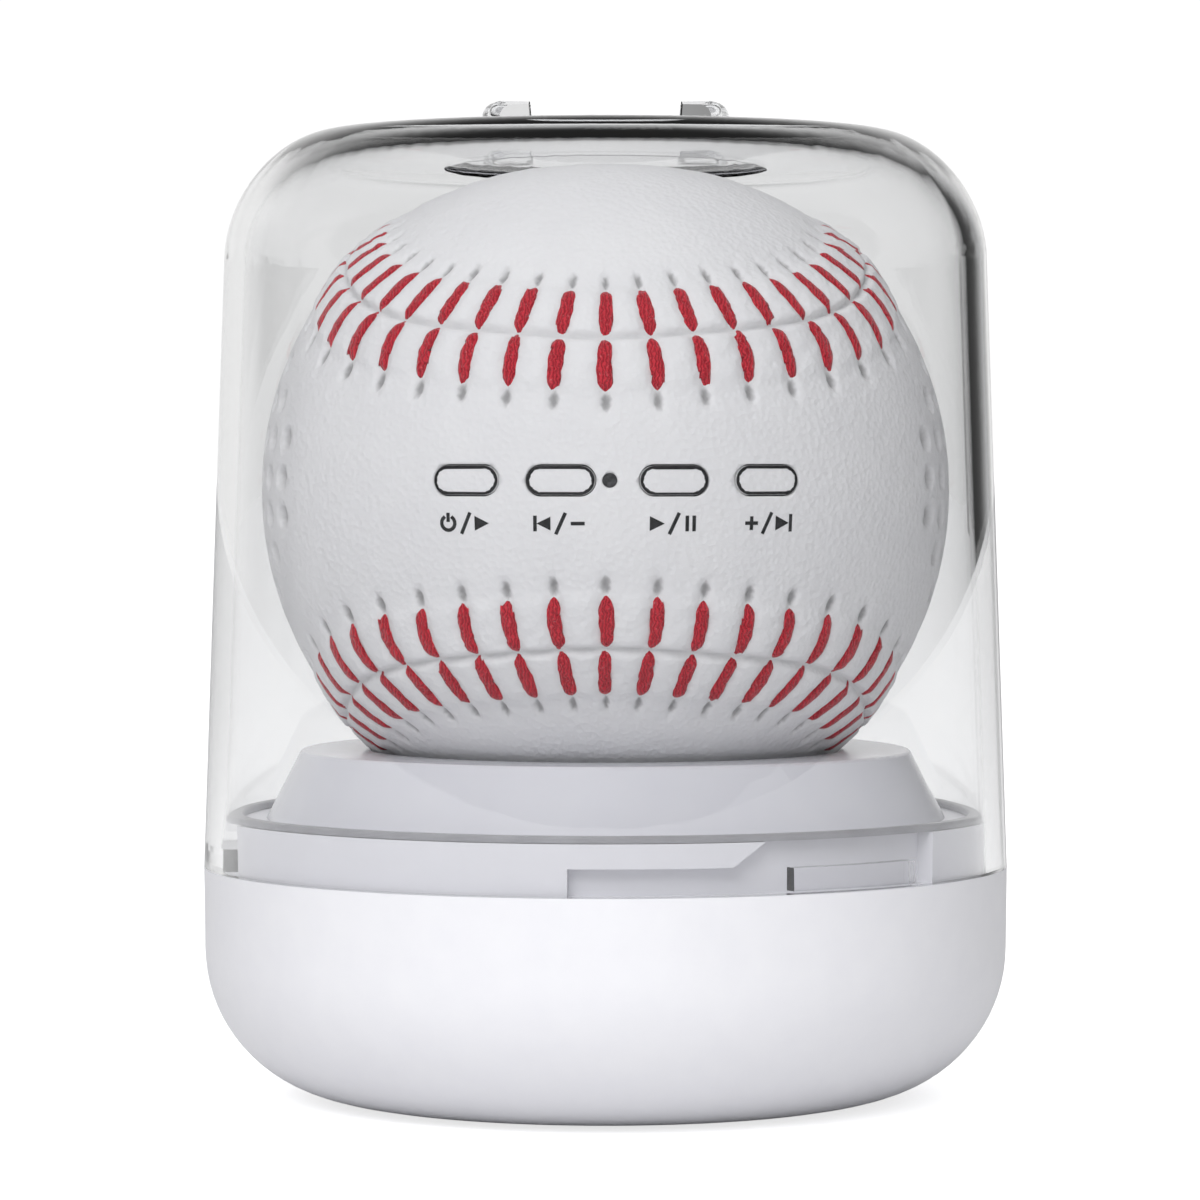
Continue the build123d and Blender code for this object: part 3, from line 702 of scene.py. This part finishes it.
def moulded(name, light, dark, rough=(0.3, 0.38), scale=260, grain=2600, bump=0.012, **values):
    """Moulded, painted or printed surface: faint mottling, uneven gloss and a fine grain."""
    n = Nodes(name)
    wide = n.noise(scale)
    n.link(n.mix(n.span(wide, 0, 1), light, dark), n.shader.inputs["Base Color"])
    n.link(n.span(n.noise(scale * 3), *rough), n.shader.inputs["Roughness"])
    n.bump(n.noise(grain, 3), 0.5, bump)
    n.set(**values)
    return n.material


def leather_material(name, use_shade):
    """Fine pebbled white leather, with painted shade where the piece's shade attribute says so."""
    n = Nodes(name)
    tone = n.mix(n.span(n.noise(120), 0, 1), (0.88, 0.88, 0.88), (0.84, 0.84, 0.845))
    pores = n.sum(n.cells(1500), n.noise(900, 6, 0.6), 0.9)
    creases = n.sum(pores, n.noise(320, 5, 0.62), 0.8)
    tone = n.mix(n.span(pores, 0, 0.10, 0.4, 0.9), tone, (0.66, 0.66, 0.67))
    if use_shade:
        layer = n.tree.nodes.new("ShaderNodeAttribute")
        layer.attribute_name = "shade"
        # The shade attribute darkens the leather's colour: painted shade.
        painted_shade = n.span(layer.outputs["Fac"], 0, 1, 0.0, 1.0)
        tone = n.mix(painted_shade, tone, (0.10, 0.095, 0.095))
    n.link(tone, n.shader.inputs["Base Color"])
    n.link(n.span(n.noise(500), 0.46, 0.58), n.shader.inputs["Roughness"])
    n.bump(creases, 0.8, 0.10)
    return n.material


def thread_material():
    """Waxed red thread of many fine strands."""
    n = Nodes("red_thread")
    wave = n.tree.nodes.new("ShaderNodeTexWave")
    wave.inputs["Scale"].default_value = 900
    wave.inputs["Distortion"].default_value = 9
    wave.inputs["Detail"].default_value = 3
    wave.inputs["Detail Scale"].default_value = 2
    n.link(n.place, wave.inputs["Vector"])
    strands = n.sum(wave.outputs["Fac"], n.noise(2400, 4), 0.7)
    # Darker red where the strands' relief is low: painted shade between the strands.
    tone = n.mix(n.span(strands, 0, 1, 0.4, 1.2), (0.36, 0.006, 0.018), (0.66, 0.03, 0.05))
    tone = n.mix(n.span(n.noise(3800, 2), 0, 0.5, 0.62, 0.75), tone, (0.80, 0.28, 0.28))
    n.link(tone, n.shader.inputs["Base Color"])
    n.link(n.span(strands, 0.42, 0.62, 0.4, 1.2), n.shader.inputs["Roughness"])
    n.bump(strands, 0.8, 0.10)
    n.set(Sheen_Weight=0.25, Sheen_Roughness=0.4)
    return n.material


def clear_material(name, tint, ior, rough):
    """Clear moulding that lets lamps and bounced light through to what it covers."""
    n = Nodes(name)
    n.set(Base_Color=(*tint, 1.0), IOR=ior, Transmission_Weight=1.0)
    n.link(n.span(n.noise(90, 2), *rough), n.shader.inputs["Roughness"])
    tree = n.tree
    rays = tree.nodes.new("ShaderNodeLightPath").outputs
    clear = tree.nodes.new("ShaderNodeBsdfTransparent")
    clear.inputs["Color"].default_value = (0.93, 0.93, 0.94, 1.0)
    before = n.shader.outputs[0]
    for ray in ("Is Shadow Ray", "Is Diffuse Ray"):
        mixed = tree.nodes.new("ShaderNodeMixShader")
        tree.links.new(rays[ray], mixed.inputs[0])
        tree.links.new(before, mixed.inputs[1])
        tree.links.new(clear.outputs[0], mixed.inputs[2])
        before = mixed.outputs[0]
    tree.links.new(before, tree.nodes["Material Output"].inputs["Surface"])
    return n.material


def brushed(name, light, dark, rough=(0.28, 0.42)):
    """Plated or brushed metal with fine directional marks."""
    n = Nodes(name)
    n.link(n.mix(n.span(n.noise(700), 0, 1), light, dark), n.shader.inputs["Base Color"])
    n.link(n.span(n.noise(1800, 5), *rough), n.shader.inputs["Roughness"])
    n.bump(n.noise(3200, 3), 0.4, 0.01)
    n.set(Metallic=1.0)
    return n.material


def make_materials():
    """Every material by the slot that it belongs to."""
    white = (0.80, 0.80, 0.83)
    return {
        "white_satin": moulded("white_satin", white, (0.78, 0.78, 0.815), (0.30, 0.36)),
        "white_neck": moulded("white_neck", white, (0.785, 0.785, 0.815), (0.30, 0.34), bump=0.004),
        "white_cup": moulded("white_cup", (0.74, 0.745, 0.78), (0.72, 0.725, 0.765), (0.14, 0.20)),
        "foot_rubber": moulded("foot_rubber", (0.42, 0.42, 0.43), (0.36, 0.36, 0.37), (0.7, 0.85),
                               bump=0.03),
        "screw_steel": brushed("screw_steel", (0.62, 0.62, 0.64), (0.50, 0.50, 0.52)),
        "clear_silicone": moulded("clear_silicone", (0.50, 0.50, 0.52), (0.42, 0.42, 0.44), (0.28, 0.38),
                                  bump=0.004, Transmission_Weight=0.3, IOR=1.41),
        "clear_acrylic": clear_material("clear_acrylic", (0.985, 0.988, 0.99), 1.49, (0.0, 0.012)),
        "white_leather": leather_material("white_leather", True),
        "key_leather": leather_material("key_leather", False),
        "red_thread": thread_material(),
        "black_shell": moulded("black_shell", (0.03, 0.03, 0.032), (0.05, 0.05, 0.052), (0.45, 0.6),
                               bump=0.03),
        "driver_metal": moulded("driver_metal", (0.06, 0.06, 0.065), (0.09, 0.09, 0.095), (0.4, 0.5),
                                bump=0.02),
        "cone_paper": moulded("cone_paper", (0.05, 0.05, 0.052), (0.08, 0.078, 0.075), (0.8, 0.95),
                              bump=0.05),
        "magnet_plate": brushed("magnet_plate", (0.55, 0.55, 0.57), (0.42, 0.42, 0.45)),
        "battery_wrap": moulded("battery_wrap", (0.03, 0.10, 0.30), (0.025, 0.08, 0.24), (0.25, 0.4)),
        "circuit_green": moulded("circuit_green", (0.01, 0.12, 0.05), (0.015, 0.17, 0.07), (0.3, 0.5),
                                 scale=900),
        "flex_amber": moulded("flex_amber", (0.42, 0.20, 0.04), (0.34, 0.15, 0.03), (0.25, 0.35)),
        "switch_black": moulded("switch_black", (0.012, 0.012, 0.013), (0.03, 0.03, 0.032), (0.4, 0.6),
                                scale=1500),
        "smoked_lens": moulded("smoked_lens", (0.02, 0.02, 0.022), (0.10, 0.10, 0.105), (0.3, 0.6),
                               scale=2600, bump=0.08),
        "socket_steel": brushed("socket_steel", (0.70, 0.70, 0.71), (0.58, 0.58, 0.60)),
    }


# ---------------------------------------------------------------- stage, lights and camera
def floor_piece():
    """Wide pale disc that the case stands on, which glows a little so that it reads as white."""
    points = [(0, 0, 0)]
    faces = []
    for index in range(FLOOR_SIDES):
        angle = 2 * pi * index / FLOOR_SIDES
        points.append((FLOOR_RADIUS * cos(angle), FLOOR_RADIUS * sin(angle), 0))
        faces.append((0, index + 1, (index + 1) % FLOOR_SIDES + 1))
    floor = add_mesh("floor", points, faces)
    n = Nodes("floor_paint")
    tone = n.mix(n.span(n.noise(3), 0, 1), (0.88, 0.88, 0.89), (0.85, 0.85, 0.86))
    n.link(tone, n.shader.inputs["Base Color"])
    n.set(Roughness=0.9, Emission_Color=(1.0, 1.0, 1.0, 1.0))
    rays = n.tree.nodes.new("ShaderNodeLightPath").outputs
    seen = n.span(rays["Is Camera Ray"], 0.0, FLOOR_GLOW, 0.0, 1.0)
    glow = n.sum(seen, rays["Is Transmission Ray"], FLOOR_GLOW_REFRACTED)
    n.link(glow, n.shader.inputs["Emission Strength"])
    floor.data.materials.append(n.material)


def lamp(name, place, target, size, power):
    """Soft rectangular lamp aimed at a point."""
    data = bpy.data.lights.new(name, "AREA")
    data.shape = "RECTANGLE"
    data.size, data.size_y = size
    data.energy = power
    light = bpy.data.objects.new(name, data)
    light.location = place
    light.rotation_euler = (Vector(target) - Vector(place)).to_track_quat("-Z", "Y").to_euler()
    bpy.context.scene.collection.objects.link(light)
    return light


def lit_only(light, nodes):
    """Keeps a lamp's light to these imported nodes, so that the clear cover doesn't mirror it."""
    group = bpy.data.collections.new(f"{light.name}_lit")
    for node in nodes:
        group.objects.link(frame["nodes"][node])
    light.light_linking.receiver_collection = group


class WorldNodes:
    """Small helper round the world's node tree."""

    def __init__(self, name):
        world = bpy.data.worlds.new(name)
        bpy.context.scene.world = world
        world.use_nodes = True
        self.tree = world.node_tree
        self.tree.nodes.clear()
        self.rays = self.tree.nodes.new("ShaderNodeLightPath").outputs

    def link(self, source, target):
        """Joins an output to an input."""
        self.tree.links.new(source, target)

    def math(self, operation, a, b=None):
        """An operation on outputs or numbers."""
        node = self.tree.nodes.new("ShaderNodeMath")
        node.operation = operation
        for value, socket in ((a, node.inputs[0]), (b, node.inputs[1])):
            if isinstance(value, float):
                socket.default_value = value
            elif value is not None:
                self.link(value, socket)
        return node.outputs[0]

    def ramp(self, value, start, end, low, high, ray):
        """A smooth ramp for one kind of ray, and 1 for the others."""
        ramp = self.tree.nodes.new("ShaderNodeMapRange")
        ramp.interpolation_type = "SMOOTHSTEP"
        limits = {"From Min": start, "From Max": end, "To Min": low, "To Max": high}
        for name, number in limits.items():
            ramp.inputs[name].default_value = number
        self.link(value, ramp.inputs["Value"])
        pick = self.tree.nodes.new("ShaderNodeMix")
        pick.inputs[2].default_value = 1.0
        self.link(self.rays[ray], pick.inputs[0])
        self.link(ramp.outputs["Result"], pick.inputs[3])
        return pick.outputs[0]

    def background(self):
        """A white background."""
        node = self.tree.nodes.new("ShaderNodeBackground")
        node.inputs["Color"].default_value = (1.0, 1.0, 1.0, 1.0)
        return node


def studio():
    """White surroundings for the camera; a bright band with dark sides and ceiling for other rays."""
    w = WorldNodes("studio")
    split = w.tree.nodes.new("ShaderNodeSeparateXYZ")
    w.link(w.tree.nodes.new("ShaderNodeTexCoord").outputs["Generated"], split.inputs[0])
    middle, inner, outer = DARK_STRIP
    offset = w.math("ABSOLUTE", w.math("SUBTRACT", split.outputs["X"], middle))
    strength = w.ramp(offset, inner, outer, STRIP_GLOW, 1.0, "Is Transmission Ray")
    for axis, *limits in STUDIO:
        strength = w.math("MULTIPLY", strength, w.ramp(split.outputs[axis], *limits))
    around = w.background()
    w.link(strength, around.inputs["Strength"])
    plain = w.background()
    plain.inputs["Strength"].default_value = BACKDROP_GLOW
    mixed = w.tree.nodes.new("ShaderNodeMixShader")
    w.link(w.rays["Is Camera Ray"], mixed.inputs[0])
    w.link(around.outputs[0], mixed.inputs[1])
    w.link(plain.outputs[0], mixed.inputs[2])
    w.link(mixed.outputs[0], w.tree.nodes.new("ShaderNodeOutputWorld").inputs[0])


def camera():
    """The camera at the photograph's viewing angle."""
    data = bpy.data.cameras.new("camera")
    data.sensor_width = SENSOR
    data.lens = LENS
    view = bpy.data.objects.new("camera", data)
    view.location = CAMERA_PLACE
    view.rotation_euler = (radians(90 - CAMERA_TIP), 0, 0)
    bpy.context.scene.collection.objects.link(view)
    bpy.context.scene.camera = view


def paint_packed(materials):
    """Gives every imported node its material."""
    for subpart in frame["record"]["subparts"]:
        node = frame["nodes"][subpart["node"]]
        node.data.materials.clear()
        node.data.materials.append(materials[subpart["material_slot"]])


def main():
    """Builds the pieces, the stage, the lights and the camera."""
    materials = make_materials()
    paint_packed(materials)
    leather_ball(materials["white_leather"])
    stitches(materials["red_thread"])
    rng = np.random.default_rng(5)
    for key in KEYS:
        key_piece(key, materials["key_leather"])
        key_line(key, materials["switch_black"], rng)
    icons(materials["switch_black"])
    floor_piece()
    studio()
    top = lamp("top", **TOP_LAMP)
    top.visible_glossy = False
    top.visible_transmission = False
    lit_only(lamp("front", **FRONT_LAMP), ("base_bowl",))
    camera()
    bpy.context.scene.view_settings.view_transform = "Standard"


main()
